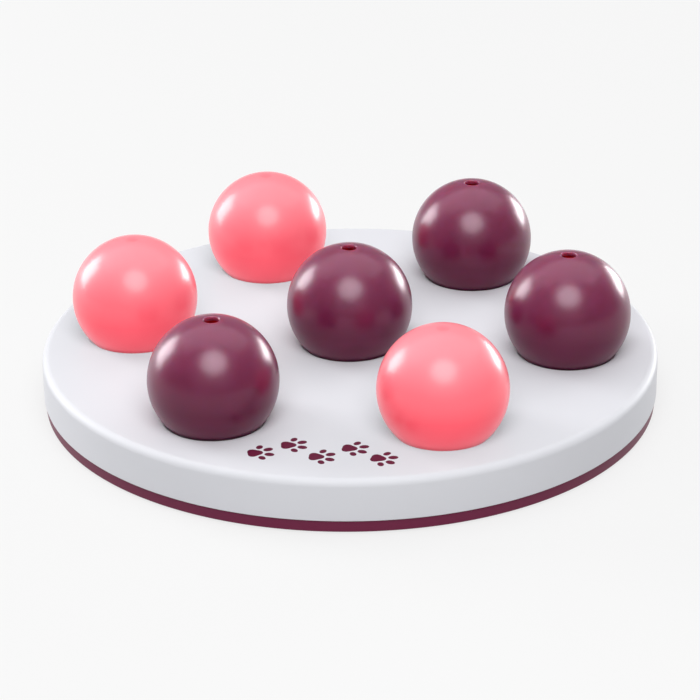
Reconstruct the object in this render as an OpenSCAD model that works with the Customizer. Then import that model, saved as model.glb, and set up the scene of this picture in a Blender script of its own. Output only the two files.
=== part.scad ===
// Puzzle board for cats: seven hollow balls stand over treat bowls in a round board.
// A treat is smelt through the hole in a ball, or found by pushing a closed ball off its bowl.
// Millimetres, +Z up. The origin lies on the table, under the middle of the board.

/* [Board] */
// Diameter of the board
board_d = 290; // [275:1:310]
// Height of the rim above the base
rim_h = 19.6; // [18.4:0.2:23]
// Rounding of the rim's top edge
edge_r = 5; // [3.5:0.1:6.5]
// Wall thickness of the board
board_wall = 2.4; // [2:0.1:2.8]
// Thickness of the ribs under the board
rib_t = 1.6; // [1.2:0.1:2.2]
// Depth of the ribs below the board's top wall
rib_h = 8; // [5:0.5:10]

/* [Balls] */
// Diameter of a ball
ball_d = 59; // [57:0.5:62]
// Wall thickness of a ball
ball_wall = 2.2; // [1.8:0.1:2.8]
// Height of a ball's centre above the board
ball_rise = 18.9; // [17.4:0.1:20]
// Rounding of a ball's lip and of its scent hole
ball_edge_r = 0.6; // [0.4:0.1:0.8]
// Diameter of the scent hole in the top of a ball
scent_hole_d = 7; // [5:0.5:9]
// Diameter of the dimple in the top of a closed ball
dimple_d = 7; // [5:0.5:9]
// Depth of the dimple below its edge
dimple_depth = 0.3; // [0.2:0.05:0.6]

/* [Treat wells] */
// Distance of the outer wells' middles from the board's edge
well_inset = 42.7; // [38:0.1:48]
// Depth of the pocket that a ball stands in
seat_depth = 2; // [1.4:0.1:2.6]
// Gap between a ball and the wall of its pocket
seat_gap = 0.4; // [0.3:0.05:0.7]
// Width of the ledge that stays free inside a ball's lip
ledge_free_w = 1; // [0.5:0.1:2]
// Depth of a treat bowl below its ledge
bowl_depth = 8; // [6:0.5:9.5]
// Rounding of the edges of a pocket and of its bowl
well_edge_r = 0.5; // [0.3:0.1:0.8]

/* [Base] */
// Height of the base's band below the rim
band_h = 5.6; // [4.8:0.1:6.8]
// Distance that the band lies behind the rim
band_inset = 0.8; // [0.4:0.1:1.6]
// Wall thickness of the base
base_wall = 2.2; // [1.8:0.1:2.8]
// Rounding of the base's lower edge
base_edge_r = 0.5; // [0.3:0.1:1.2]
// Height of the spigot that centres the rim
spigot_h = 4; // [2:0.5:6]
// Gap between the spigot and the rim
spigot_gap = 0.15; // [0.1:0.05:0.3]

/* [Feet] */
// Diameter of a rubber foot
foot_d = 16; // [12:0.5:20]
// Distance that a foot stands out below the base
foot_proud = 1; // [0.7:0.1:1.8]
// Depth of the recess that a foot lies in
foot_recess = 0.8; // [0.5:0.1:1]
// Gap between a foot and the wall of its recess
foot_gap = 0.2; // [0.1:0.05:0.4]
// Rounding of a foot's lower edge
foot_edge_r = 0.5; // [0.3:0.1:0.8]
// Diameter of a foot's stem
stem_d = 5; // [4:0.5:6]
// Height of the stem's barb above the base
barb_h = 2; // [1.5:0.1:3]
// Overhang of the barb around the stem
barb_w = 0.6; // [0.4:0.1:1]
// Gap between a stem and its hole
stem_gap = 0.1; // [0.05:0.05:0.2]
// Distance of the feet's middles from the board's edge
foot_inset = 19; // [15:0.5:26]

/* [Screws] */
// Diameter of a screw's shank
screw_d = 3; // [2.6:0.1:3.4]
// Length of a screw
screw_l = 16; // [13:0.5:17]
// Diameter of a screw's countersunk head
head_d = 5.8; // [5:0.1:6.4]
// Width of a screw's cross slot
slot_w = 0.8; // [0.6:0.1:1]
// Length of a screw's cross slot
slot_l = 3.4; // [2.6:0.1:4]
// Depth of a screw's cross slot
slot_depth = 1; // [0.6:0.1:1.4]
// Diameter of a screw's blunt tip
tip_d = 1; // [0.6:0.1:1.4]
// Gap around a screw in its countersink and in its boss
screw_gap = 0.05; // [0.05:0.05:0.15]
// Gap around a screw's shank in the base
shank_gap = 0.2; // [0.1:0.05:0.3]
// Depth of the pilot hole past the screw's tip
pilot_spare = 1.5; // [0.5:0.1:2]
// Diameter of a screw boss
boss_d = 8; // [7:0.5:10]
// Height of the base's half of a screw boss above its floor
base_boss_h = 5.6; // [4:0.2:8]
// Distance of the screws' middles from the board's edge
screw_inset = 27; // [22:0.5:34]

/* [Hidden] */
$fn = 96;
// Extra reach of a cutter past the faces that it opens
over = 1;
// Balls around the middle one, which set the turns of feet, screws and ribs too
outer_count = 6;
turn_step = 360 / outer_count;
// Largest share of a ball's wall that the rounding of an edge takes
edge_share = 0.35;

board_r = board_d / 2;
pitch_r = board_r - well_inset;
foot_pitch_r = board_r - foot_inset;
screw_pitch_r = board_r - screw_inset;
z_base = foot_proud;
z_floor = z_base + base_wall;
z_seam = z_base + band_h;
z_top = z_seam + rim_h;
z_roof = z_top - board_wall;
rim_inner_r = board_r - board_wall;
cavity_edge_r = max(edge_r - board_wall, well_edge_r);

ball_r = ball_d / 2;
ball_inner_r = ball_r - ball_wall;
z_ball = z_top + ball_rise;
lip_drop = ball_rise + seat_depth;
lip_inner_r = chord(ball_inner_r, lip_drop);
lip_edge_r = min(ball_edge_r, edge_share * ball_wall);
hole_r = scent_hole_d / 2;
hole_edge_x = hole_r + lip_edge_r;
hole_edge_z = chord(ball_r - lip_edge_r, hole_edge_x);
hole_foot_z = chord(ball_inner_r + lip_edge_r, hole_edge_x);
dimple_r = dimple_d / 2;
dimple_sphere_r = bowl_radius(dimple_r, dimple_depth);
dimple_z = chord(ball_r, dimple_r) - dimple_depth + dimple_sphere_r;

z_seat = z_top - seat_depth;
seat_r = chord(ball_r, ball_rise) + seat_gap;
well_r = seat_r + board_wall;
bowl_r = lip_inner_r - ledge_free_w;
bowl_sphere_r = bowl_radius(bowl_r, bowl_depth);
z_bowl = z_seat - bowl_depth + bowl_sphere_r;

band_r = board_r - band_inset;
spigot_r = rim_inner_r - spigot_gap;
spigot_inner_r = spigot_r - base_wall;

foot_r = foot_d / 2;
stem_r = stem_d / 2;
foot_top = foot_proud + foot_recess;
barb_z = z_floor + stem_gap;

screw_r = screw_d / 2;
head_r = head_d / 2;
boss_r = boss_d / 2;
z_boss = z_floor + base_boss_h;
screw_turn = turn_step / 2;

// Node name, distance from the middle, direction and whether there is a scent hole
BALLS = [
    ["scent_ball_middle", 0, 0, true],
    ["scent_ball_right", pitch_r, 0, true],
    ["scent_ball_back_right", pitch_r, turn_step, true],
    ["closed_ball_back_left", pitch_r, 2 * turn_step, false],
    ["closed_ball_left", pitch_r, 3 * turn_step, false],
    ["scent_ball_front_left", pitch_r, 4 * turn_step, true],
    ["closed_ball_front_right", pitch_r, 5 * turn_step, false]
];
FEET = [for (k = [1 : outer_count]) str("foot_", k)];

// Half width of a circle of radius r at a distance d from its centre
function chord(r, d) = sqrt(r * r - d * d);
// Radius of the sphere that makes a bowl of mouth radius r and depth d
function bowl_radius(r, d) = (r * r + d * d) / (2 * d);
// Point twice as far from c as p is
function beyond(c, p) = c + 2 * (p - c);

// Copies on a circle of radius r, the first one turned by a
module around(r, a = 0) {
    for (k = [0 : outer_count - 1])
        rotate(a + k * turn_step)
            translate([r, 0, 0])
                children();
}

// Copies in the middle and on the circle of outer balls
module at_wells() {
    children();
    around(pitch_r) children();
}

// What a rounding of radius r about c takes off a corner, whose sides it meets at a and b
module corner_waste(corner, c, r, a, b) {
    difference() {
        polygon([c, beyond(c, a), beyond(c, corner), beyond(c, b)]);
        translate(c) circle(r);
    }
}

// Half section of a disc of radius r and height h, with its top edge rounded
module disc_section(r, h, e) {
    square([r - e, h]);
    square([r, h - e]);
    translate([r - e, h - e]) circle(e);
}

// Waste at a ball's lip, outside and inside
module lip_waste() {
    c_z = lip_edge_r - lip_drop;
    out_c = [chord(ball_r - lip_edge_r, c_z), c_z];
    in_c = [chord(ball_inner_r + lip_edge_r, c_z), c_z];
    corner_waste(
        [chord(ball_r, lip_drop), -lip_drop], out_c, lip_edge_r,
        [out_c.x, -lip_drop], out_c * ball_r / (ball_r - lip_edge_r)
    );
    corner_waste(
        [lip_inner_r, -lip_drop], in_c, lip_edge_r,
        [in_c.x, -lip_drop], in_c * ball_inner_r / (ball_inner_r + lip_edge_r)
    );
}

// Waste of a scent hole and of its rounded edges
module scent_hole_waste() {
    out_c = [hole_edge_x, hole_edge_z];
    in_c = [hole_edge_x, hole_foot_z];
    square([hole_r, ball_r + over]);
    corner_waste(
        [hole_r, chord(ball_r, hole_r)], out_c, lip_edge_r,
        [hole_r, out_c.y], out_c * ball_r / (ball_r - lip_edge_r)
    );
    corner_waste(
        [hole_r, chord(ball_inner_r, hole_r)], in_c, lip_edge_r,
        [hole_r, in_c.y], in_c * ball_inner_r / (ball_inner_r + lip_edge_r)
    );
}

// Half section of a ball about its centre, open below the lip
module ball_section(has_hole) {
    difference() {
        intersection() {
            difference() {
                circle(ball_r);
                circle(ball_inner_r);
            }
            translate([0, -lip_drop]) square([2 * ball_r, 2 * ball_r]);
        }
        lip_waste();
        if (has_hole) {
            scent_hole_waste();
        } else {
            translate([0, dimple_z]) circle(dimple_sphere_r);
        }
    }
}

// Hollow ball that lifts off its pocket
module ball(b) {
    color(b[3] ? "#7a3450" : "#ff6c80")
        rotate(b[2])
            translate([b[1], 0, z_ball])
                rotate_extrude()
                    ball_section(b[3]);
}

// Outside of a well as it shows under the board
module well_body() {
    rotate_extrude() {
        translate([0, z_seat - board_wall]) square([well_r, seat_depth + board_wall - over]);
        intersection() {
            translate([0, z_bowl]) circle(bowl_sphere_r + board_wall);
            square([well_r, z_seat]);
        }
    }
}

// Pocket, ledge and bowl that are sunk into the board
module well_waste() {
    pocket_c = [seat_r + well_edge_r, z_top - well_edge_r];
    bowl_c_z = z_seat - well_edge_r;
    bowl_c = [chord(bowl_sphere_r + well_edge_r, z_bowl - bowl_c_z), bowl_c_z];
    bowl_mid = [0, z_bowl];
    rotate_extrude() {
        translate([0, z_seat]) square([seat_r, seat_depth + over]);
        corner_waste(
            [seat_r, z_top], pocket_c, well_edge_r,
            [seat_r, pocket_c.y], [pocket_c.x, z_top]
        );
        intersection() {
            translate(bowl_mid) circle(bowl_sphere_r);
            square([seat_r, z_seat + over / 2]);
        }
        corner_waste(
            [bowl_r, z_seat], bowl_c, well_edge_r,
            [bowl_c.x, z_seat],
            bowl_mid + (bowl_c - bowl_mid) * bowl_sphere_r / (bowl_sphere_r + well_edge_r)
        );
    }
}

// Ribs that run from the middle well to the rim, past the screw bosses and through the outer wells
module ribs() {
    for (k = [0 : 2 * outer_count - 1])
        rotate(k * screw_turn)
            translate([0, -rib_t / 2, z_roof - rib_h])
                cube([board_r, rib_t, rib_h + over]);
}

// White shell: the top with its wells, and the rim around it
module board_shell() {
    color("#f2f2f4")
        difference() {
            translate([0, 0, z_seam]) rotate_extrude() disc_section(board_r, rim_h, edge_r);
            difference() {
                translate([0, 0, z_seam - over])
                    rotate_extrude()
                        disc_section(rim_inner_r, rim_h - board_wall + over, cavity_edge_r);
                at_wells() well_body();
                around(screw_pitch_r, screw_turn)
                    translate([0, 0, z_boss]) cylinder(r = boss_r, h = z_top - z_boss);
                ribs();
            }
            at_wells() well_waste();
            around(screw_pitch_r, screw_turn)
                translate([0, 0, z_boss - over])
                    cylinder(r = screw_r + screw_gap, h = z_base + screw_l + pilot_spare - z_boss + over);
        }
}

// Half section of the base: floor, band and the spigot inside the rim
module base_section() {
    edge_c = [band_r - base_edge_r, z_base + base_edge_r];
    difference() {
        union() {
            translate([0, z_base]) square([band_r, base_wall]);
            translate([spigot_inner_r, z_base]) square([band_r - spigot_inner_r, band_h]);
            translate([spigot_inner_r, z_base]) square([base_wall, band_h + spigot_h]);
        }
        corner_waste(
            [band_r, z_base], edge_c, base_edge_r,
            [edge_c.x, z_base], [band_r, edge_c.y]
        );
    }
}

// Waste of a countersunk screw hole
module screw_hole_waste() {
    translate([0, 0, z_base - over]) cylinder(r = screw_r + shank_gap, h = z_boss - z_base + 2 * over);
    rotate_extrude()
        polygon([
            [0, z_base - over],
            [head_r + screw_gap + over, z_base - over],
            [screw_r + screw_gap, z_base + head_r - screw_r],
            [0, z_base + head_r - screw_r]
        ]);
}

// Coloured plate that closes the board from below
module base_plate() {
    color("#6f2f48")
        difference() {
            union() {
                rotate_extrude() base_section();
                around(screw_pitch_r, screw_turn)
                    translate([0, 0, z_base]) cylinder(r = boss_r, h = z_boss - z_base);
            }
            around(screw_pitch_r, screw_turn) screw_hole_waste();
            around(foot_pitch_r) {
                translate([0, 0, z_base - over]) cylinder(r = foot_r + foot_gap, h = foot_recess + over);
                translate([0, 0, z_base]) cylinder(r = stem_r + stem_gap, h = base_wall + over);
            }
        }
}

// Countersunk screws that hold the base to the shell
module base_screws() {
    color("silver")
        around(screw_pitch_r, screw_turn)
            difference() {
                rotate_extrude()
                    polygon([
                        [0, z_base],
                        [head_r, z_base],
                        [screw_r, z_base + head_r - screw_r],
                        [screw_r, z_base + screw_l - screw_r],
                        [tip_d / 2, z_base + screw_l],
                        [0, z_base + screw_l]
                    ]);
                for (a = [0, 90])
                    rotate(a)
                        translate([-slot_l / 2, -slot_w / 2, z_base - over])
                            cube([slot_l, slot_w, slot_depth + over]);
            }
}

// Rubber foot: a pad in its recess, with a barbed stem through the base
module foot(k) {
    edge_c = [foot_r - foot_edge_r, foot_edge_r];
    color("#3a3a3c")
        rotate(k * turn_step)
            translate([foot_pitch_r, 0, 0])
                rotate_extrude() {
                    difference() {
                        square([foot_r, foot_top]);
                        corner_waste(
                            [foot_r, 0], edge_c, foot_edge_r,
                            [edge_c.x, 0], [foot_r, edge_c.y]
                        );
                    }
                    square([stem_r, barb_z]);
                    polygon([
                        [0, barb_z],
                        [stem_r + barb_w, barb_z],
                        [stem_r - barb_w, barb_z + barb_h],
                        [0, barb_z + barb_h]
                    ]);
                }
}

board_shell();
base_plate();
base_screws();
for (k = [0 : outer_count - 1]) foot(k);
for (b = BALLS) ball(b);
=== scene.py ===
"""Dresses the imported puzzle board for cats: its meshes, finishes, studio and camera.

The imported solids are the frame, in metres with +Z up, and the origin lies on the table under the middle of
the board. The board, its base, the balls and the printed mark are new surfaces, worked out as whole arrays.
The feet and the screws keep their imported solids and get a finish.
"""

from __future__ import annotations

import logging
import math
from collections.abc import Sequence
from dataclasses import dataclass, field
from enum import Enum

import bmesh
import bpy
import numpy as np
from mathutils import Matrix, Vector

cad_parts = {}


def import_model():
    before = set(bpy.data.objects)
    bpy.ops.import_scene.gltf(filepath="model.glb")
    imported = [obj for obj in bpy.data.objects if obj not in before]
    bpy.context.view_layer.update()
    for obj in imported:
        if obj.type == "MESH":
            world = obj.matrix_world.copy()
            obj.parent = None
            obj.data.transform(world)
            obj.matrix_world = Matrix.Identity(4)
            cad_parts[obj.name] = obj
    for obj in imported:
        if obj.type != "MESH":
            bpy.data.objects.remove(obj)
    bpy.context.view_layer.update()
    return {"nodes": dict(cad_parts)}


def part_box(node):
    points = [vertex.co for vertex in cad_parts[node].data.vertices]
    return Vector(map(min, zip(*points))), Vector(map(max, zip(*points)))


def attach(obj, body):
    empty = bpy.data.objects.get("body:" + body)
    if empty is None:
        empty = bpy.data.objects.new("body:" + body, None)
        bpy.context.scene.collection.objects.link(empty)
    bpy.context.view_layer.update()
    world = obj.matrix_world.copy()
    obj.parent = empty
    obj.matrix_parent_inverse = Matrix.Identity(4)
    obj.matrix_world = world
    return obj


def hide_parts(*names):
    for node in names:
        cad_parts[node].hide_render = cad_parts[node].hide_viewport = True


Array = np.ndarray
Colour = tuple[float, float, float]
Span = tuple[float, float]
Socket = bpy.types.NodeSocket

LOG = logging.getLogger("puzzle_board")
PHOTO_WIDTH_PX = 700
MERGE_DISTANCE = 1e-6
SMOOTH_ANGLE = math.radians(40)
AXIS = (0.0, 0.0)
# Width of the narrow faces at both ends of a flat face, which keep its shading flat.
FACE_MARGIN = 0.0004

# Ring of the outer wells: count, step in degrees and distance from the middle.
OUTER_COUNT = 6
OUTER_STEP = 360.0 / OUTER_COUNT
WELL_PITCH = 0.1023

# Where the bosses of board and base meet: distance from the middle, radius and height.
SCREW_PITCH = 0.118
BOSS_RADIUS = 0.004
BOSS_MEET = 0.0088

# Noises of the finishes: cells on a metre and layers of detail.
CLOUDS = (45.0, 3.0)
WEAR = (240.0, 4.0)
STAINS = (700.0, 4.0)
GRAIN = (1800.0, 2.0)
# Half the span of a plastic's roughness.
ROUGHNESS_HALF = 0.025

# Name of the mesh's marks for painted light, their span, and saturation and value at its ends: a painted
# highlight, paler, on rounded edges at 1, and painted shade, deeper, in dimples below 0.
PAINTED_LIGHT_ATTRIBUTE = "painted_light"
PAINTED_LIGHT_SPAN = (-1.0, 1.0)
PAINTED_LIGHT_SATURATION = (1.12, 0.88)
PAINTED_LIGHT_VALUE = (0.9, 1.1)

# Glossy skin, reach of red, green and blue light inside a plastic, and colour of a painted glow that a
# plastic gives off without a lamp.
SKIN_ROUGHNESS = 0.24
GLOW_RADII = (1.0, 0.3, 0.3)
PAINTED_GLOW = (1.0, 0.03, 0.06)


class BallTop(Enum):
    """What a ball has at its very top."""

    SCENT_HOLE = "scent hole"
    DIMPLE = "dimple"


class LampShape(Enum):
    """Outline of a studio light, by Blender's own name."""

    BOX = "RECTANGLE"
    ROUND = "ELLIPSE"


@dataclass
class Surface:
    """Points and four-sided faces of a piece, as whole arrays.

    Attributes:
        points: One row of x, y and z for each point, in metres.
        quads: One row of four point numbers for each face.
        painted_light: For each point, 1 on a rounded edge with a painted highlight, less than 0 in a dimple
            with painted shade, and 0 elsewhere, or none.
    """

    points: Array
    quads: Array
    painted_light: Array | None = None

    @classmethod
    def from_grid(cls, points: Array, closed_rows: bool = False, closed_columns: bool = True) -> Surface:
        """Joins a grid of points into quads between neighbouring rows and columns.

        Args:
            points: Grid of points, with rows and columns first.
            closed_rows: Whether the last row joins the first one.
            closed_columns: Whether the last column joins the first one.

        Returns:
            The surface.
        """
        rows, columns = points.shape[:2]
        number = np.arange(rows * columns).reshape(rows, columns)
        if closed_rows:
            number = np.vstack([number, number[:1]])
        if closed_columns:
            number = np.hstack([number, number[:, :1]])
        corners = [number[:-1, :-1], number[:-1, 1:], number[1:, 1:], number[1:, :-1]]
        return cls(points.reshape(-1, 3), np.stack(corners, axis=-1).reshape(-1, 4))

    @classmethod
    def joined(cls, parts: Sequence[Surface]) -> Surface:
        """Puts several surfaces into one."""
        first = np.cumsum([0] + [len(part.points) for part in parts[:-1]])
        quads = [part.quads + start for part, start in zip(parts, first)]
        return cls(np.vstack([part.points for part in parts]), np.vstack(quads))

    def to_object(self, name: str) -> bpy.types.Object:
        """Makes a mesh object at the origin, with seams and poles merged and faces outwards.

        Args:
            name: Name of the object and of its mesh.

        Returns:
            The new object, linked to the scene.
        """
        mesh = bpy.data.meshes.new(name)
        mesh.from_pydata(self.points.tolist(), [], self.quads.tolist())
        if self.painted_light is not None:
            mesh.attributes.new(PAINTED_LIGHT_ATTRIBUTE, "FLOAT", "POINT").data.foreach_set("value", self.painted_light)
        work = bmesh.new()
        work.from_mesh(mesh)
        bmesh.ops.remove_doubles(work, verts=work.verts, dist=MERGE_DISTANCE)
        bmesh.ops.recalc_face_normals(work, faces=work.faces)
        work.to_mesh(mesh)
        work.free()
        mesh.shade_smooth()
        mesh.set_sharp_from_angle(angle=SMOOTH_ANGLE)
        piece = bpy.data.objects.new(name, mesh)
        bpy.context.scene.collection.objects.link(piece)
        return piece


def chord(radius: float, distance: float) -> float:
    """Half width of a circle at a distance from its centre."""
    return math.sqrt(radius * radius - distance * distance)


def dish_sphere(radius: float, depth: float) -> float:
    """Radius of a dish's sphere: (r r + d d) / 2 d for a dish of radius r and depth d."""
    return (radius**2 + depth**2) / (2 * depth)


def slope(point: Sequence[float]) -> float:
    """Angle of a point of radius and height, from the outward direction towards up."""
    return math.atan2(point[1], point[0])


def direction(azimuth: float, elevation: float) -> Vector:
    """Unit vector by degrees about +Z from the front, towards +X, and degrees above the table."""
    turn, rise = math.radians(azimuth), math.radians(elevation)
    return Vector((math.sin(turn) * math.cos(rise), -math.cos(turn) * math.cos(rise), math.sin(rise)))


def heading(turn: Array) -> Array:
    """Unit vectors that point along angles in radians from +X."""
    return np.stack([np.cos(turn), np.sin(turn)], axis=-1)


def full_turn(steps: int, start: float = 0.0) -> Array:
    """Evenly spaced angles of a whole turn, in radians."""
    return start + np.linspace(0, 2 * math.pi, steps, endpoint=False)


def arc(centre: Sequence[float], radius: float, start: float, stop: float, steps: int) -> Array:
    """Points on a circle: centre plus radius times the cosine and sine of evenly spaced angles.

    Args:
        centre: Radius and height of the circle's centre.
        radius: Radius of the circle.
        start: First angle in radians, from the outward direction towards up.
        stop: Last angle in radians.
        steps: Count of stretches between the points.

    Returns:
        One row of radius and height for each point.
    """
    return np.asarray(centre) + radius * heading(np.linspace(start, stop, steps + 1))


def face_rows(near: Array | float, far: Array | float) -> Array:
    """Distances of the rows of points across a flat face, with a narrow face at both ends."""
    return np.stack([near, near + FACE_MARGIN, (near + far) / 2, far - FACE_MARGIN, far])


def at_heights(flat: Array, height: Array | float) -> Array:
    """Grid of points with x and y from a flat grid, at heights for its rows or for all of it."""
    level = np.broadcast_to(height, flat.shape[:-1])
    return np.concatenate([flat, level[..., None]], axis=-1)


def revolved(profile: Array, centre: Sequence[float], turns: Array, closed: bool = False) -> Surface:
    """Carries a profile round an upright axis: (r, z) at turn a goes to (x + r cos a, y + r sin a, z).

    Args:
        profile: One row of radius and height for each point.
        centre: Where the axis stands, x and y.
        turns: Angles in radians.
        closed: Whether the profile's last point joins the first one.

    Returns:
        The surface, with a row of points for each point of the profile.
    """
    radius, height = profile[:, :1], profile[:, 1:]
    flat = np.asarray(centre) + radius[..., None] * heading(turns)
    return Surface.from_grid(at_heights(flat, height), closed_rows=closed)


def turned(points: Array, angle: float) -> Array:
    """Turns points of x and y, and maybe z, about the board's axis by an angle in radians."""
    result = points.copy()
    result[..., 0] = points[..., 0] * math.cos(angle) - points[..., 1] * math.sin(angle)
    result[..., 1] = points[..., 0] * math.sin(angle) + points[..., 1] * math.cos(angle)
    return result


def well_place(number: int) -> Array:
    """Middle of a well: 0 is the one in the middle, 1 to 6 stand round it from +X."""
    return np.zeros(2) if number == 0 else WELL_PITCH * heading(np.radians(OUTER_STEP * (number - 1)))


@dataclass
class Sector:
    """A sector of a flat ring, with one round feature in it.

    Its outline runs along the outer circle, in along one straight side, back along the inner circle and out
    along the other side. Neighbours share the points on these lines.

    Attributes:
        turn: Direction of the sector's middle, in degrees.
        half: Half its angle, in degrees.
        inner: Inner radius.
        outer: Outer radius.
        feature: Distance of the feature's middle from the board's middle.
        steps: Count of stretches along the outer circle, a side and the inner circle.
    """

    turn: float
    half: float
    inner: float
    outer: float
    feature: float
    steps: tuple[int, int, int]

    @property
    def centre(self) -> Array:
        """Middle of the feature."""
        return self.feature * heading(np.radians(self.turn))

    def outline(self) -> Array:
        """Points round the sector, in order."""
        half = math.radians(self.half)
        outer_steps, side_steps, inner_steps = self.steps
        outer = self.outer * heading(np.linspace(-half, half, outer_steps + 1))
        inner = self.inner * heading(np.linspace(half, -half, inner_steps + 1))
        reach = np.linspace(self.outer, self.inner, side_steps + 1)[1:-1, None]
        sides = [reach * heading(np.array(half)), reach[::-1] * heading(np.array(-half))]
        return turned(np.vstack([outer, sides[0], inner, sides[1]]), math.radians(self.turn))

    def plate(self, radius: float, height: float) -> Surface:
        """Flat face between a circle round the feature and the outline.

        Args:
            radius: Radius of the circle.
            height: Height of the face.

        Returns:
            The face.
        """
        away = self.outline() - self.centre
        reach = np.linalg.norm(away, axis=1)
        rows = face_rows(np.full_like(reach, radius), reach)
        flat = self.centre + (rows / reach)[..., None] * away
        return Surface.from_grid(at_heights(flat, height))

    def lathe(self, profile: Array) -> Surface:
        """Carries a profile round the feature, with its points in the directions of the outline's."""
        away = self.outline() - self.centre
        return revolved(profile, self.centre, np.arctan2(away[:, 1], away[:, 0]))


class NodeGraph:
    """Short way to add and join the nodes of a tree."""

    def __init__(self, tree: bpy.types.NodeTree) -> None:
        """Keeps the tree and empties it."""
        self.tree = tree
        tree.nodes.clear()

    def add(self, kind: str, **inputs: object) -> bpy.types.Node:
        """Adds a node and sets its inputs, or joins sockets to them.

        Args:
            kind: Blender's name of the node type.
            **inputs: Value or socket for each input, by its name with underscores for spaces.

        Returns:
            The new node.
        """
        node = self.tree.nodes.new(kind)
        for name, value in inputs.items():
            self.feed(node, name.replace("_", " "), value)
        return node

    def feed(self, node: bpy.types.Node, name: str | int, value: object) -> None:
        """Sets one input of a node, or joins a socket to it."""
        if isinstance(value, Socket):
            self.tree.links.new(value, node.inputs[name])
        else:
            node.inputs[name].default_value = value

    def math(self, operation: str, *terms: object) -> Socket:
        """Adds a math node and gives its result."""
        node = self.tree.nodes.new("ShaderNodeMath")
        node.operation = operation
        for place, term in enumerate(terms):
            self.feed(node, place, term)
        return node.outputs[0]

    def blend(self, share: Socket, first: object, second: object) -> Socket:
        """Mixes two linear colours or sockets: all of the first at a share of 0, of the second at 1."""
        node = self.tree.nodes.new("ShaderNodeMix")
        node.data_type = "RGBA"
        self.feed(node, "Factor", share)
        for place, colour in ((6, first), (7, second)):
            self.feed(node, place, colour if isinstance(colour, Socket) else (*colour, 1))
        return node.outputs[2]

    def spread(self, value: Socket, low: float, high: float, span: Span = (0.0, 1.0)) -> Socket:
        """Carries a value from the start and end of a span over to low and high, and no further."""
        node = self.add("ShaderNodeMapRange", Value=value, To_Min=low, To_Max=high)
        node.inputs["From Min"].default_value, node.inputs["From Max"].default_value = span
        return node.outputs["Result"]

    def noise(self, place: Socket, per_m: float, detail: float) -> Socket:
        """Noise of so many cells on a metre and so many layers of detail."""
        return self.add("ShaderNodeTexNoise", Vector=place, Scale=per_m, Detail=detail).outputs["Fac"]


def blank_material(name: str) -> tuple[bpy.types.Material, NodeGraph]:
    """Makes a material, and gives it with its empty tree."""
    material = bpy.data.materials.new(name)
    material.use_nodes = True
    return material, NodeGraph(material.node_tree)


def darker(colour: Colour, share: float) -> Colour:
    """A colour with a share of its light taken away."""
    return tuple(part * (1 - share) for part in colour)


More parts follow.
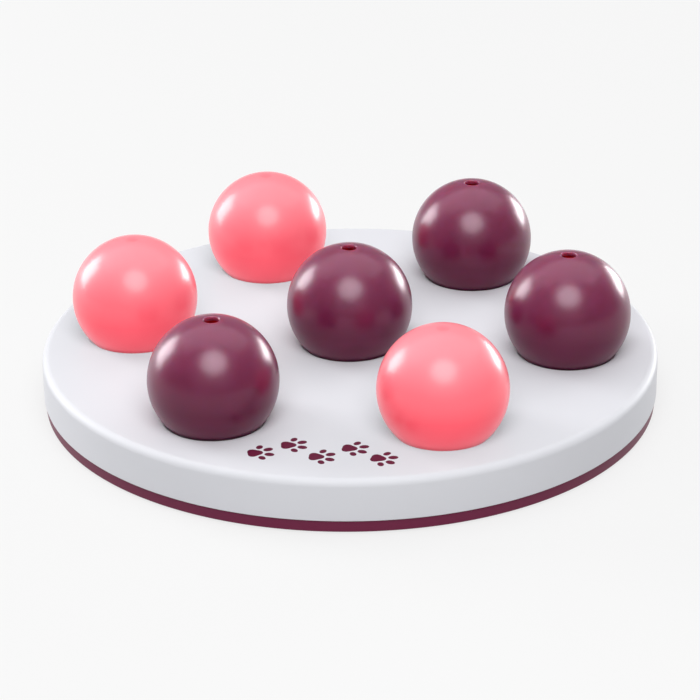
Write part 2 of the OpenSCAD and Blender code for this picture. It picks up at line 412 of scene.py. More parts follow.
@dataclass(frozen=True)
class MouldedFinish:
    """Moulded plastic or rubber with a fine spark-eroded grain.

    Attributes:
        name: Name of the material.
        slot: Name of a material slot; not used.
        colour: Linear colour.
        shade: Share by which the cloudy tone may darken the colour.
        roughness: Middle of the roughness.
        specular: Specular level of the shader.
        gloss_tint: Tint of the satin's reflections.
        grain_depth: Height of the grain in metres.
        skin: Share of a thin glossy skin over the satin, or zero.
        glow_depth: Distance in metres that light travels inside the plastic, or zero.
        painted_shade_foot_colour: Linear colour at a ball's foot, which fades into the main colour at its
            top, or none; painted shade and light, deeper at the foot than at the top.
        foot_gloss: Share of the gloss that is left at a ball's foot.
        painted_shade_span: Heights in metres between which the painted shade of the colour and the gloss
            fade.
        painted_glow_strength: Strength of a painted glow, emission that brightens the colour without a lamp,
            or zero.
        paints_light_and_shade: Whether marked rounded edges get a painted highlight, paler, and dimples
            painted shade, deeper.
        bounces: Whether the piece throws its colour on the pieces around it.
    """

    name: str
    slot: str
    colour: Colour
    shade: float = 0.03
    roughness: float = 0.3
    specular: float = 0.5
    gloss_tint: Colour = (1.0, 1.0, 1.0)
    grain_depth: float = 0.000004
    skin: float = 0.0
    glow_depth: float = 0.0
    painted_shade_foot_colour: Colour | None = None
    foot_gloss: float = 1.0
    painted_shade_span: Span = (0.038, 0.065)
    painted_glow_strength: float = 0.0
    paints_light_and_shade: bool = False
    bounces: bool = True

    def with_painted_light(self, graph: NodeGraph, tone: Socket) -> Socket:
        """Paints a highlight on marked edges, paler, and shade in dimples, deeper, by the mesh's own marks.
        """
        attribute = graph.add("ShaderNodeAttribute")
        attribute.attribute_name = PAINTED_LIGHT_ATTRIBUTE
        mark = attribute.outputs["Fac"]
        node = graph.add(
            "ShaderNodeHueSaturation",
            Saturation=graph.spread(mark, *PAINTED_LIGHT_SATURATION, PAINTED_LIGHT_SPAN),
            Value=graph.spread(mark, *PAINTED_LIGHT_VALUE, PAINTED_LIGHT_SPAN),
            Color=tone,
        )
        return node.outputs["Color"]

    def material(self) -> bpy.types.Material:
        """Gives the material, and makes it the first time.

        Returns:
            A principled material with cloudy tone, uneven gloss and a fine grain.
        """
        known = bpy.data.materials.get(self.name)
        if known:
            return known
        material, graph = blank_material(self.name)
        place = graph.add("ShaderNodeTexCoord").outputs["Object"]
        cloud, wear, grain = (graph.noise(place, *kind) for kind in (CLOUDS, WEAR, GRAIN))
        light, dark = self.colour, darker(self.colour, self.shade)
        specular, skin = self.specular, self.skin
        if self.painted_shade_foot_colour:
            # Painted shade and light: the colour goes from the foot colour below to the main colour above,
            # by height, and the gloss fades with it.
            height = graph.add("ShaderNodeSeparateXYZ", Vector=place).outputs["Z"]
            rise = graph.spread(height, 0.0, 1.0, self.painted_shade_span)
            light = graph.blend(rise, self.painted_shade_foot_colour, light)
            dark = graph.blend(rise, darker(self.painted_shade_foot_colour, self.shade), dark)
            specular = graph.spread(rise, specular * self.foot_gloss, specular)
            skin = graph.spread(rise, skin * self.foot_gloss, skin)
        tone = graph.blend(cloud, light, dark)
        # Painted highlight on marked edges and painted shade in dimples.
        if self.paints_light_and_shade:
            tone = self.with_painted_light(graph, tone)
        bump = graph.add("ShaderNodeBump", Strength=1.0, Distance=self.grain_depth, Height=grain)
        shader = graph.add(
            "ShaderNodeBsdfPrincipled",
            Base_Color=tone,
            Roughness=graph.spread(wear, self.roughness - ROUGHNESS_HALF, self.roughness + ROUGHNESS_HALF),
            Specular_IOR_Level=specular,
            Specular_Tint=(*self.gloss_tint, 1),
            Normal=bump.outputs["Normal"],
        )
        if self.glow_depth > 0:
            graph.feed(shader, "Subsurface Weight", 1.0)
            graph.feed(shader, "Subsurface Radius", GLOW_RADII)
            graph.feed(shader, "Subsurface Scale", self.glow_depth)
        if self.skin > 0:
            graph.feed(shader, "Coat Weight", skin)
            graph.feed(shader, "Coat Roughness", SKIN_ROUGHNESS)
        # Painted glow: emission that brightens the colour, with no lamp behind it.
        if self.painted_glow_strength > 0:
            graph.feed(shader, "Emission Color", (*PAINTED_GLOW, 1))
            graph.feed(shader, "Emission Strength", self.painted_glow_strength)
        graph.add("ShaderNodeOutputMaterial", Surface=shader.outputs["BSDF"])
        return material


@dataclass(frozen=True)
class PlatedFinish:
    """Zinc plated steel with uneven gloss.

    Attributes:
        name: Name of the material.
        slot: Name of a material slot; not used.
        colour: Linear colour.
        shade: Share by which a stain may darken the colour.
        roughness: Roughness of a clean and of a stained spot.
    """

    name: str
    slot: str
    colour: Colour
    shade: float = 0.2
    roughness: Span = (0.25, 0.45)

    def material(self) -> bpy.types.Material:
        """Makes the material."""
        material, graph = blank_material(self.name)
        place = graph.add("ShaderNodeTexCoord").outputs["Object"]
        stain = graph.noise(place, *STAINS)
        shader = graph.add(
            "ShaderNodeBsdfPrincipled",
            Base_Color=graph.blend(stain, self.colour, darker(self.colour, self.shade)),
            Metallic=1.0,
            Roughness=graph.spread(stain, *self.roughness),
        )
        graph.add("ShaderNodeOutputMaterial", Surface=shader.outputs["BSDF"])
        return material


WHITE = MouldedFinish(
    "white_satin_plastic", "white_plastic", (0.70, 0.705, 0.745), shade=0.015, roughness=0.5, specular=0.3
)
# Burgundy balls: painted shade that darkens the colour towards the foot, and a painted highlight on the lip
# and the scent hole's edge.
BURGUNDY = MouldedFinish(
    "burgundy_satin_plastic",
    "burgundy_plastic",
    (0.238, 0.021, 0.088),
    roughness=0.32,
    specular=0.68,
    gloss_tint=(1.0, 0.86, 0.98),
    skin=0.6,
    glow_depth=0.012,
    painted_shade_foot_colour=(0.128, 0.007, 0.043),
    foot_gloss=0.35,
    painted_shade_span=(0.04, 0.0744),
    paints_light_and_shade=True,
)
# Pink balls: painted shade and light, deeper red at the foot and paler at the top, a painted glow, a painted
# highlight on the lip and painted shade in the dimple.
PINK = MouldedFinish(
    "coral_pink_plastic",
    "pink_plastic",
    (0.95, 0.25, 0.295),
    shade=0.02,
    roughness=0.4,
    specular=0.34,
    skin=0.75,
    painted_shade_foot_colour=(0.97, 0.085, 0.128),
    painted_shade_span=(0.041, 0.066),
    painted_glow_strength=0.2,
    paints_light_and_shade=True,
    bounces=False,
)
BASE = MouldedFinish(
    "burgundy_matt_plastic", "burgundy_plastic", (0.145, 0.004, 0.042), roughness=0.45, specular=0.35
)
RUBBER = MouldedFinish(
    "matt_black_rubber", "foot_rubber", (0.03, 0.03, 0.032), roughness=0.75, grain_depth=0.00002
)
INK = MouldedFinish("printed_ink", "burgundy_plastic", (0.125, 0.006, 0.035), roughness=0.55, specular=0.25)
STEEL = PlatedFinish("zinc_plated_steel", "screw_steel", (0.6, 0.6, 0.62))


def dress_node(frame: dict, node: str, finish: MouldedFinish | PlatedFinish) -> None:
    """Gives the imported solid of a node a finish, and leaves its shape alone."""
    slots = frame["nodes"][node].data.materials
    slots.clear()
    slots.append(finish.material())
    LOG.info("%s dressed in %s", node, finish.name)


def put_in_place(surface: Surface, node: str, body: str, finish: MouldedFinish) -> None:
    """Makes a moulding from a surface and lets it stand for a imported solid.

    Args:
        surface: The moulding's surface.
        node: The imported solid's node.
        body: The body that the moulding moves with.
        finish: Its plastic.
    """
    piece = surface.to_object(node + "_moulding")
    piece.data.materials.append(finish.material())
    piece.visible_diffuse = finish.bounces
    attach(piece, body)
    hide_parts(node)
    LOG.info("%s: %d faces", piece.name, len(piece.data.polygons))


@dataclass
class BoardShell:
    """White top and rim of the board, with the treat wells, ribs and screw bosses on its underside.

    Attributes:
        node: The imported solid.
        finish: Its plastic.
        edge: Rounding of the top edge.
        wall: Wall thickness.
        foot_edge: Rounding of the rim's lower edge.
        pocket: Radius of the pocket that holds a ball.
        seat_depth: Depth of the pocket.
        bowl: Radius of the treat bowl.
        bowl_depth: Depth of the treat bowl below the seat.
        well_edge: Rounding of the pocket and of the bowl.
        pilot: Radius of a boss's pilot hole.
        pilot_end: Height of the pilot hole's end.
        rib: Thickness of a rib.
        rib_depth: Depth of a rib under the roof.
        sink: Depth to which ribs and bosses reach into the walls that they grow from.
    """

    node: str = "board_shell"
    finish: MouldedFinish = WHITE
    edge: float = 0.0035
    wall: float = 0.0024
    foot_edge: float = 0.0003
    pocket: float = 0.02305
    seat_depth: float = 0.002
    bowl: float = 0.016564
    bowl_depth: float = 0.008
    well_edge: float = 0.0005
    pilot: float = 0.00155
    pilot_end: float = 0.0185
    rib: float = 0.0016
    rib_depth: float = 0.008
    sink: float = 0.001
    radius: float = field(init=False)
    seam: float = field(init=False)
    top: float = field(init=False)

    def __post_init__(self) -> None:
        """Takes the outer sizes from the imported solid."""
        low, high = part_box(self.node)
        self.radius, self.seam, self.top = high.x, low.z, high.z

    @property
    def roof(self) -> float:
        """Height of the top's underside."""
        return self.top - self.wall

    @property
    def seat(self) -> float:
        """Height of the ledge on which a ball stands."""
        return self.top - self.seat_depth

    @property
    def under_seat(self) -> float:
        """Height of the ledge's underside."""
        return self.seat - self.wall

    @property
    def well(self) -> float:
        """Outer radius of a well's body."""
        return self.pocket + self.wall

    @property
    def sphere(self) -> float:
        """Radius of the bowl's sphere."""
        return dish_sphere(self.bowl, self.bowl_depth)

    @property
    def sphere_height(self) -> float:
        """Height of the bowl sphere's centre."""
        return self.seat - self.bowl_depth + self.sphere

    def pocket_profile(self) -> Array:
        """From the top, over the pocket's rounding, wall and ledge, down the bowl to its lowest point."""
        edge, middle = self.well_edge, np.array([0.0, self.sphere_height])
        height = self.seat - edge
        lip = np.array([chord(self.sphere + edge, middle[1] - height), height])
        start = slope(lip - middle)
        bowl = arc(middle, self.sphere, start, -math.pi / 2, steps=18)
        bowl[-1, 0] = 0
        return np.vstack([
            arc((self.pocket + edge, self.top - edge), edge, math.pi / 2, math.pi, steps=5),
            [[self.pocket, self.seat]],
            arc(lip, edge, math.pi / 2, start + math.pi, steps=5),
            bowl[1:],
        ])

    def body_radius(self, height: Array) -> Array:
        """Outer radius of a well's body at each height: an upright wall, and below the seat a sphere."""
        drop = self.sphere_height - height
        ball = np.sqrt(np.maximum((self.sphere + self.wall) ** 2 - drop**2, 0))
        return np.where(height > self.under_seat, self.well, ball)

    def body_profile(self) -> Array:
        """From the roof down the outside of a well's body to its lowest point."""
        start = math.asin((self.under_seat - self.sphere_height) / (self.sphere + self.wall))
        bowl = arc((0, self.sphere_height), self.sphere + self.wall, start, -math.pi / 2, steps=14)
        bowl[-1, 0] = 0
        return np.vstack([[[self.well, self.roof], [self.well, self.under_seat]], bowl])

    def rim_profile(self) -> Array:
        """From the top, over the edge, down the rim, and up its inside to the roof."""
        edge, foot, inside = self.edge, self.foot_edge, self.radius - self.wall
        inner_edge = edge - self.wall
        return np.vstack([
            arc((self.radius - edge, self.top - edge), edge, math.pi / 2, 0, steps=14),
            [[self.radius, self.top - edge - FACE_MARGIN], [self.radius, self.seam + foot + FACE_MARGIN]],
            arc((self.radius - foot, self.seam + foot), foot, 0, -math.pi / 2, steps=4),
            [[inside, self.seam]],
            arc((self.radius - edge, self.roof - inner_edge), inner_edge, 0, math.pi / 2, steps=8),
        ])

    def skin(self) -> list[Surface]:
        """The top, the roof under it, all seven wells and the rim.

        Returns:
            Faces that share their edge points, so that merging closes them.
        """
        half, inner, outer = OUTER_STEP / 2, WELL_PITCH / 2, self.radius - self.edge
        outer_steps, _, inner_steps = steps = (50, 24, 30)
        turns = [OUTER_STEP * k for k in range(OUTER_COUNT)]
        sectors = [Sector(turn, half, inner, outer, WELL_PITCH, steps) for turn in turns]
        middle_turns = full_turn(OUTER_COUNT * inner_steps, -math.radians(half))
        rim_turns = full_turn(OUTER_COUNT * outer_steps, -math.radians(half))
        parts = [revolved(self.rim_profile(), AXIS, rim_turns)]
        for profile in (self.pocket_profile(), self.body_profile()):
            radius, height = profile[0]
            rows = face_rows(radius, inner)
            flat = np.stack([rows, np.full_like(rows, height)], axis=-1)
            parts.append(revolved(flat, AXIS, middle_turns))
            parts.append(revolved(profile, AXIS, middle_turns))
            for sector in sectors:
                parts.append(sector.plate(radius, height))
                parts.append(sector.lathe(profile))
        return parts

    def bosses(self) -> list[Surface]:
        """Round screw bosses under the roof, each with its pilot hole."""
        profile = np.array([
            [0, self.roof + self.sink],
            [BOSS_RADIUS, self.roof + self.sink],
            [BOSS_RADIUS, BOSS_MEET],
            [self.pilot, BOSS_MEET],
            [self.pilot, self.pilot_end],
            [0, self.pilot_end],
        ])
        turns = np.radians(OUTER_STEP * (np.arange(OUTER_COUNT) + 0.5))
        places = [SCREW_PITCH * heading(turn) for turn in turns]
        return [revolved(profile, place, full_turn(steps=32)) for place in places]

    def rib_wall(self, start: Array, stop: Array, height: Array, angle: float) -> Surface:
        """An upright wall along a direction, with a start and a stop for each height.

        Args:
            start: Distance of its inner end from the middle, for each height.
            stop: Distance of its outer end, for each height.
            height: The heights, from below.
            angle: Its direction in radians.

        Returns:
            A closed wall.
        """
        half = np.full_like(height, self.rib / 2)
        x = np.stack([start, stop, stop, start], axis=-1)
        y = np.stack([-half, -half, half, half], axis=-1)
        grid = at_heights(np.stack([x, y], axis=-1), height[:, None])
        middle = grid.mean(axis=1, keepdims=True) * np.ones((1, 4, 1))
        whole = np.concatenate([middle[:1], grid, middle[-1:]])
        return Surface.from_grid(turned(whole, angle))

    def ribs(self) -> list[Surface]:
        """Twelve ribs from the middle well to the rim, past the bosses and the outer wells."""
        low = np.linspace(self.roof - self.rib_depth, self.under_seat, num=5)
        just_above = 1e-5
        height = np.concatenate([low, [self.under_seat + just_above, self.roof + self.sink]])
        body = self.body_radius(height) - self.sink
        boss = np.full_like(height, BOSS_RADIUS - self.sink)
        end = np.full_like(height, self.radius - self.wall + self.sink)
        walls = []
        for k in range(2 * OUTER_COUNT):
            place, reach = (WELL_PITCH, body) if k % 2 == 0 else (SCREW_PITCH, boss)
            angle = math.radians(OUTER_STEP / 2 * k)
            walls.append(self.rib_wall(body, place - reach, height, angle))
            walls.append(self.rib_wall(place + reach, end, height, angle))
        return walls

    def build(self) -> None:
        """Joins the skin, the bosses and the ribs into the board's moulding."""
        surface = Surface.joined([*self.skin(), *self.bosses(), *self.ribs()])
        put_in_place(surface, self.node, "board", self.finish)


@dataclass
class BasePlate:
    """Coloured plate that closes the board from below, with its band, foot recesses and screw holes.

    Attributes:
        node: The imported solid.
        finish: Its plastic.
        wall: Thickness of the floor and of the spigot.
        edge: Rounding of the lower edge.
        spigot: Outer radius of the spigot inside the rim.
        inner: Inner radius of the ring of feet and screws.
        outer: Outer radius of that ring.
        foot_pitch: Distance of the feet from the middle.
        recess: Radius and depth of a foot's recess.
        stem_hole: Radius of a foot's stem hole.
        head: Radius of a screw's countersink.
        shank: Radius of a screw hole.
    """

    node: str = "base_plate"
    finish: MouldedFinish = BASE
    wall: float = 0.0022
    edge: float = 0.0005
    spigot: float = 0.14245
    inner: float = 0.108
    outer: float = 0.136
    foot_pitch: float = 0.126
    recess: Span = (0.0082, 0.0008)
    stem_hole: float = 0.0026
    head: float = 0.00295
    shank: float = 0.0017
    radius: float = field(init=False)
    bottom: float = field(init=False)
    seam: float = field(init=False)
    spigot_top: float = field(init=False)

    def __post_init__(self) -> None:
        """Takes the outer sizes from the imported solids."""
        low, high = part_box(self.node)
        self.radius, self.bottom, self.spigot_top = high.x, low.z, high.z
        self.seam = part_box("board_shell")[0].z

    @property
    def floor(self) -> float:
        """Height of the plate's upper face."""
        return self.bottom + self.wall

    def foot_profile(self) -> Array:
        """From the bottom up a foot's recess and through its stem hole to the floor."""
        radius, depth = self.recess
        return np.array([
            [radius, self.bottom],
            [radius, self.bottom + depth],
            [self.stem_hole, self.bottom + depth],
            [self.stem_hole, self.floor],
        ])

    def screw_profile(self) -> Array:
        """From the bottom up a countersunk hole, over the boss and down it to the floor."""
        return np.array([
            [self.head, self.bottom],
            [self.shank, self.bottom + self.head - self.shank],
            [self.shank, BOSS_MEET],
            [BOSS_RADIUS, BOSS_MEET],
            [BOSS_RADIUS, self.floor],
        ])

    def band_profile(self) -> Array:
        """From the bottom, round the lower edge, up the band, over the spigot and down to the floor."""
        inside = self.spigot - self.wall
        return np.vstack([
            [[self.outer, self.bottom]],
            arc((self.radius - self.edge, self.bottom + self.edge), self.edge, -math.pi / 2, 0, steps=5),
            [
                [self.radius, self.seam],
                [self.spigot, self.seam],
                [self.spigot, self.spigot_top],
                [inside, self.spigot_top],
                [inside, self.floor],
                [self.outer, self.floor],
            ],
        ])

    def build(self) -> None:
        """Joins the band, the disc inside it and the ring with the feet and the screws."""
        count, half = 2 * OUTER_COUNT, OUTER_STEP / 4
        outer_steps, _, inner_steps = steps = (50, 8, 24)
        rim_turns = full_turn(count * outer_steps, -math.radians(half))
        disc_turns = full_turn(count * inner_steps, -math.radians(half))
        parts = [revolved(self.band_profile(), AXIS, rim_turns)]
        for height in (self.bottom, self.floor):
            line = np.array([[0, height], [self.inner / 2, height], [self.inner, height]])
            parts.append(revolved(line, AXIS, disc_turns))
        for k in range(count):
            pitch = SCREW_PITCH if k % 2 else self.foot_pitch
            profile = self.screw_profile() if k % 2 else self.foot_profile()
            sector = Sector(2 * half * k, half, self.inner, self.outer, pitch, steps)
            parts.append(sector.lathe(profile))
            parts.append(sector.plate(*profile[0]))
            parts.append(sector.plate(*profile[-1]))
        put_in_place(Surface.joined(parts), self.node, "board", self.finish)


@dataclass
class Ball:
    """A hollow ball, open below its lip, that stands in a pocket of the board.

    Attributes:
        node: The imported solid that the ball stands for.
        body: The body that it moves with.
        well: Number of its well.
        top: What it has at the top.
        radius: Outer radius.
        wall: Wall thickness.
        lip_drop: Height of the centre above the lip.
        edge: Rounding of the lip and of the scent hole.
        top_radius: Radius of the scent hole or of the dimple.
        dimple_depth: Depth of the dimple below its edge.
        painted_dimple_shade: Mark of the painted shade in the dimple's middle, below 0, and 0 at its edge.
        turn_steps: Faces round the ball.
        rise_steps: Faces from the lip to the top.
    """

    node: str
    body: str
    well: int
    top: BallTop
    radius: float = 0.0295
    wall: float = 0.0022
    lip_drop: float = 0.0209
    edge: float = 0.0006
    top_radius: float = 0.0035
    dimple_depth: float = 0.0003
    painted_dimple_shade: float = -0.5
    turn_steps: int = 160
    rise_steps: int = 72

    @property
    def inner_radius(self) -> float:
        """Radius of the hollow."""
        return self.radius - self.wall

    @property
    def edge_radii(self) -> Span:
        """Radii on which the centres of the roundings lie, for the outside and for the inside."""
        return self.radius - self.edge, self.inner_radius + self.edge

    def rounding(self, centre: Array, start: float, stop: float) -> Array:
        """Arc of a rounded edge."""
        return arc(centre, self.edge, start, stop, steps=6)

    def lower_outline(self, upper_out: float, upper_in: float) -> list[Array]:
        """Arcs from the top of the outside, round the lip, to the top of the inside.

        Args:
            upper_out: Angle above the centre where the outside starts.
            upper_in: Angle above the centre where the inside ends.

        Returns:
            The outside, the two roundings of the lip and the inside.
        """
        height = self.edge - self.lip_drop
        outer, inner = (np.array([chord(radius, height), height]) for radius in self.edge_radii)
        out_angle, in_angle = slope(outer), slope(inner)
        return [
            arc((0, 0), self.radius, upper_out, out_angle, self.rise_steps),
            self.rounding(outer, out_angle, -math.pi / 2)[1:],
            self.rounding(inner, 1.5 * math.pi, in_angle + math.pi),
            arc((0, 0), self.inner_radius, in_angle, upper_in, self.rise_steps)[1:],
        ]

    def scent_outline(self) -> Array:
        """Closed section of a ball with a hole: outside, lip, inside, then up the hole's rounded wall."""
        across = self.top_radius + self.edge
        outer, inner = (np.array([across, chord(radius, across)]) for radius in self.edge_radii)
        out_angle, in_angle = slope(outer), slope(inner)
        return np.vstack([
            *self.lower_outline(out_angle, in_angle),
            self.rounding(inner, in_angle + math.pi, math.pi)[1:],
            self.rounding(outer, math.pi, out_angle)[:-1],
        ])

    def dimple_outline(self) -> Array:
        """Open section of a closed ball: dimple, outside, lip and inside, from the axis to the axis."""
        bowl = dish_sphere(self.top_radius, self.dimple_depth)
        rim_height = chord(self.radius, self.top_radius)
        centre = (0, rim_height - self.dimple_depth + bowl)
        half = math.asin(self.top_radius / bowl)
        dish = arc(centre, bowl, -math.pi / 2, -math.pi / 2 + half, steps=8)
        start = math.acos(self.top_radius / self.radius)
        outline = np.vstack([dish[:-1], *self.lower_outline(start, math.pi / 2)])
        outline[-1, 0] = 0
        return outline

    def painted_light_marks(self, outline: Array) -> Array:
        """Marks the section's points that lie off both spheres: an edge, for a painted highlight, or the
        dimple, for painted shade.

        A dimple of radius d and mark m has m (1 - (r / d) (r / d)) at radius r, and an edge has 1.

        Args:
            outline: Rows of radius and height from the ball's centre.

        Returns:
            One mark for each row.
        """
        reach = np.hypot(outline[:, 0], outline[:, 1])
        off = np.minimum(abs(self.radius - reach), abs(reach - self.inner_radius)) > MERGE_DISTANCE
        in_dimple = (self.top is BallTop.DIMPLE) & (outline[:, 1] > 0)
        dish = self.painted_dimple_shade * (1 - (outline[:, 0] / self.top_radius) ** 2)
        return off * np.where(in_dimple, dish, 1.0)

    def build(self) -> None:
        """Turns the section round the ball's axis and puts the piece in the solid's place."""
        has_hole = self.top is BallTop.SCENT_HOLE
        outline = self.scent_outline() if has_hole else self.dimple_outline()
        lifted = outline + (0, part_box(self.node)[0].z + self.lip_drop)
        surface = revolved(lifted, well_place(self.well), full_turn(self.turn_steps), closed=has_hole)
        # Marks for a painted highlight on the rounded edges and painted shade in the dimple.
        surface.painted_light = np.repeat(self.painted_light_marks(outline), self.turn_steps)
        put_in_place(surface, self.node, self.body, BURGUNDY if has_hole else PINK)


@dataclass
class PawTrail:
    """Printed mark on the board's front: a short trail of paw prints.

    Attributes:
        steps: Place and turn of each print: x and y in metres, turn in degrees.
        toes: Turn of each toe in degrees, and its distance and half width as shares of the pad's radius.
        pad: Radius of a print's main pad.
        lobe: Share by which the pad's three lobes stand out.
        stretch: Length of a toe as a share of its width.
        ink: Thickness of the ink.
        finish: The ink.
    """

    steps: Sequence[tuple[float, float, float]] = (
        (-0.0285, -0.1215, 14),
        (-0.0150, -0.1125, 8),
        (-0.0015, -0.1225, 2),
        (0.0120, -0.1130, -4),
        (0.0255, -0.1215, -10),
    )
    toes: Sequence[tuple[float, float, float]] = (
        (-62, 1.75, 0.42),
        (-21, 2.0, 0.48),
        (21, 2.0, 0.48),
        (62, 1.75, 0.42),
    )
    pad: float = 0.0034
    lobe: float = 0.13
    stretch: float = 1.35
    ink: float = 0.00006
    finish: MouldedFinish = INK

    def blob(self, centre: Array, reach: Array, height: float) -> Surface:
        """A flat spot of ink: its outline at turn a lies at reach(a) from its centre.

        Args:
            centre: Middle of the spot, x and y.
            reach: Distance of the outline for evenly spaced turns.
            height: Height of the board's top.

        Returns:
            A thin closed slab with that outline.
        """
        share = np.array([0.0, 0.5, 0.97, 1.0, 0.0])[:, None]
        level = np.array([self.ink, self.ink, self.ink, 0.0, 0.0])[:, None]
        flat = centre + (share * reach)[..., None] * heading(full_turn(len(reach)))
        return Surface.from_grid(at_heights(flat, height + level))

    def paw(self, place: Array, degrees: float, height: float) -> list[Surface]:
        """One print: a three-lobed pad and four toes in a fan.

        Args:
            place: Middle of the pad, x and y.
            degrees: Direction in which the paw points, from +X.
            height: Height of the board's top.

        Returns:
            The five spots.
        """
        aim = math.radians(degrees)
        turn = full_turn(steps=48)
        pad = self.pad * (1 + self.lobe * np.cos(3 * (turn - aim)))
        spots = [self.blob(place, pad, height)]
        for fan, away, size in self.toes:
            toe_aim = aim + math.radians(fan)
            centre = place + self.pad * away * heading(np.array(toe_aim))
            along = turn - toe_aim
            toe = self.pad * size / np.sqrt((np.cos(along) / self.stretch) ** 2 + np.sin(along) ** 2)
            spots.append(self.blob(centre, toe, height))
        return spots

    def build(self) -> None:
        """Prints the trail on the board's top."""
        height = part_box("board_shell")[1].z
        spots = [spot for x, y, turn in self.steps for spot in self.paw(np.array([x, y]), turn, height)]
        piece = Surface.joined(spots).to_object("printed_trail")
        piece.data.materials.append(self.finish.material())
        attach(piece, "board")
        LOG.info("%s of %d prints", piece.name, len(self.steps))


@dataclass
class Camera:
    """The photograph's camera.

    Attributes:
        focal_px: Focal length in pixels of the photograph.
        azimuth: Turn about +Z from the front, in degrees, towards +X.
        elevation: Height above the table, in degrees.
        roll: Clockwise roll in degrees.
        distance: Distance from the aim.
        aim: Point in the middle of the picture.
    """

    focal_px: float = 2835.8
    azimuth: float = 6.484
    elevation: float = 24.45
    roll: float = 0.479
    distance: float = 1.3438
    aim: tuple[float, float, float] = (0.0, 0.0, 0.02165)

    def build(self) -> None:
        """Places the camera and makes it the scene's own."""
        data = bpy.data.cameras.new("photo_camera")
        data.lens = self.focal_px * data.sensor_width / PHOTO_WIDTH_PX
        camera = bpy.data.objects.new("photo_camera", data)
        bpy.context.scene.collection.objects.link(camera)
        back = direction(self.azimuth, self.elevation)
        right = Vector((0, 0, 1)).cross(back).normalized()
        right = Matrix.Rotation(-math.radians(self.roll), 3, back) @ right
        axes = Matrix((right, back.cross(right), back)).transposed().to_4x4()
        camera.matrix_world = Matrix.Translation(Vector(self.aim) + back * self.distance) @ axes
        bpy.context.scene.camera = camera


@dataclass(frozen=True)
class Softbox:
    """A soft studio light that faces the object.

    Attributes:
        name: Name of the light.
        bearing: Where it stands, in degrees round the object: 0 by the camera, 90 at its right.
        elevation: Height above the table, in degrees.
        distance: Distance from the object.
        size: Width and height.
        radiance: Brightness of its face, where 1 is white.
        shape: Its outline.
    """

    name: str
    bearing: float
    elevation: float
    distance: float
    size: Span
    radiance: float
    shape: LampShape = LampShape.BOX

    def build(self, front: float) -> None:
        """Hangs the light.

        Args:
            front: The camera's azimuth in degrees, from which bearings count.
        """
        data = bpy.data.lights.new(self.name, "AREA")
        data.shape = self.shape.value
        data.size, data.size_y = self.size
        area = self.size[0] * self.size[1]
        if self.shape is LampShape.ROUND:
            area *= math.pi / 4
        data.energy = self.radiance * math.pi * area
        lamp = bpy.data.objects.new(self.name, data)
        bpy.context.scene.collection.objects.link(lamp)
        away = direction(front + self.bearing, self.elevation)
        facing = away.to_track_quat("Z", "Y").to_matrix().to_4x4()
        lamp.matrix_world = Matrix.Translation(away * self.distance) @ facing


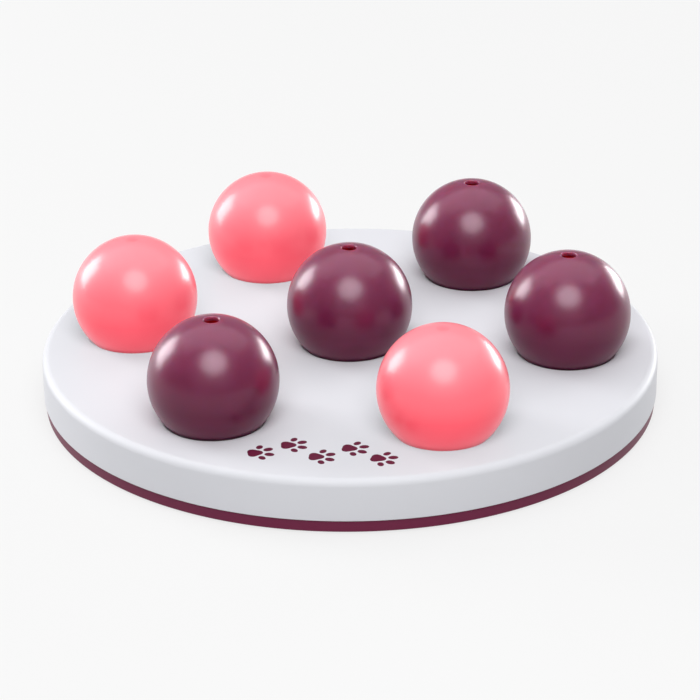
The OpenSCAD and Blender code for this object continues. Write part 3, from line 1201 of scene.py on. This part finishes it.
@dataclass
class Studio:
    """Pale floor, soft lights and the world around them.

    Attributes:
        lights: The soft lights.
        floor_half: Half the width of the floor.
        backdrop: Linear brightness of the background as the camera sees it.
        shadow_share: Share of the floor's look that the object's shadow can darken.
        shadow_tone: Linear brightness of that share as a plain surface.
        bounce: Linear brightness that the floor reflects as a plain surface.
        sky: Brightness of the world.
    """

    lights: Sequence[Softbox] = (
        Softbox("left_box", 241, 18.5, 1.6, (0.72, 0.86), 8.05),
        Softbox("right_box", 135, 7.0, 1.6, (0.72, 0.36), 13.8),
        Softbox("camera_round", 2, 53.5, 1.6, (1.16, 1.16), 5.0, LampShape.ROUND),
        Softbox("back_high", 180, 72, 1.8, (3.4, 1.7), 0.86),
        Softbox("front_low", 0, 22, 1.9, (2.0, 0.8), 0.3),
    )
    floor_half: float = 3.0
    backdrop: float = 0.939
    shadow_share: float = 0.2
    shadow_tone: float = 0.74
    bounce: float = 0.55
    sky: float = 0.3

    def floor_material(self) -> bpy.types.Material:
        """Makes a floor that looks pale to the eye and in reflections, and still takes the shadow."""
        material, graph = blank_material("pale_floor")
        path = graph.add("ShaderNodeLightPath").outputs
        seen = graph.math("MAXIMUM", path["Is Camera Ray"], path["Is Glossy Ray"])
        seen = graph.math("MAXIMUM", seen, path["Is Transmission Ray"])
        matt = graph.add("ShaderNodeBsdfDiffuse", Color=(*[self.bounce] * 3, 1)).outputs["BSDF"]
        pale = graph.add("ShaderNodeBsdfDiffuse", Color=(*[self.shadow_tone] * 3, 1)).outputs["BSDF"]
        glow = graph.add("ShaderNodeEmission", Color=(*[self.backdrop] * 3, 1)).outputs["Emission"]
        look = graph.add("ShaderNodeMixShader", Fac=self.shadow_share)
        graph.feed(look, 1, glow)
        graph.feed(look, 2, pale)
        whole = graph.add("ShaderNodeMixShader", Fac=seen)
        graph.feed(whole, 1, matt)
        graph.feed(whole, 2, look.outputs["Shader"])
        graph.add("ShaderNodeOutputMaterial", Surface=whole.outputs["Shader"])
        return material

    def build_floor(self) -> None:
        """Lays the floor under the feet: a flat grid of three by three points."""
        line = np.linspace(-self.floor_half, self.floor_half, 3)
        grid = at_heights(np.stack(np.meshgrid(line, line), axis=-1), 0.0)
        floor = Surface.from_grid(grid, closed_columns=False).to_object("floor")
        floor.data.materials.append(self.floor_material())

    def build(self, front: float) -> None:
        """Sets up the world, the floor and the lights.

        Args:
            front: The camera's azimuth in degrees.
        """
        scene = bpy.context.scene
        scene.view_settings.view_transform = "Standard"
        scene.world = bpy.data.worlds.new("studio_air")
        scene.world.use_nodes = True
        graph = NodeGraph(scene.world.node_tree)
        sky = graph.add("ShaderNodeBackground", Color=(1, 1, 1, 1), Strength=self.sky)
        graph.add("ShaderNodeOutputWorld", Surface=sky.outputs["Background"])
        self.build_floor()
        for light in self.lights:
            light.build(front)
            LOG.info("light %s", light.name)


BALLS = (
    Ball("scent_ball_middle", "ball_middle", 0, BallTop.SCENT_HOLE),
    Ball("scent_ball_right", "ball_right", 1, BallTop.SCENT_HOLE),
    Ball("scent_ball_back_right", "ball_back_right", 2, BallTop.SCENT_HOLE),
    Ball("closed_ball_back_left", "ball_back_left", 3, BallTop.DIMPLE),
    Ball("closed_ball_left", "ball_left", 4, BallTop.DIMPLE),
    Ball("scent_ball_front_left", "ball_front_left", 5, BallTop.SCENT_HOLE),
    Ball("closed_ball_front_right", "ball_front_right", 6, BallTop.DIMPLE),
)


def main() -> None:
    """Loads the frame, dresses and builds every piece, and sets up the studio."""
    logging.basicConfig(level=logging.INFO, format="%(name)s: %(message)s")
    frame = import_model()
    camera = Camera()
    camera.build()
    BoardShell().build()
    BasePlate().build()
    dress_node(frame, "base_screws", STEEL)
    for node in frame["nodes"]:
        if node.startswith("foot_"):
            dress_node(frame, node, RUBBER)
    for ball in BALLS:
        ball.build()
    PawTrail().build()
    Studio().build(camera.azimuth)


if __name__ == "__main__":
    main()
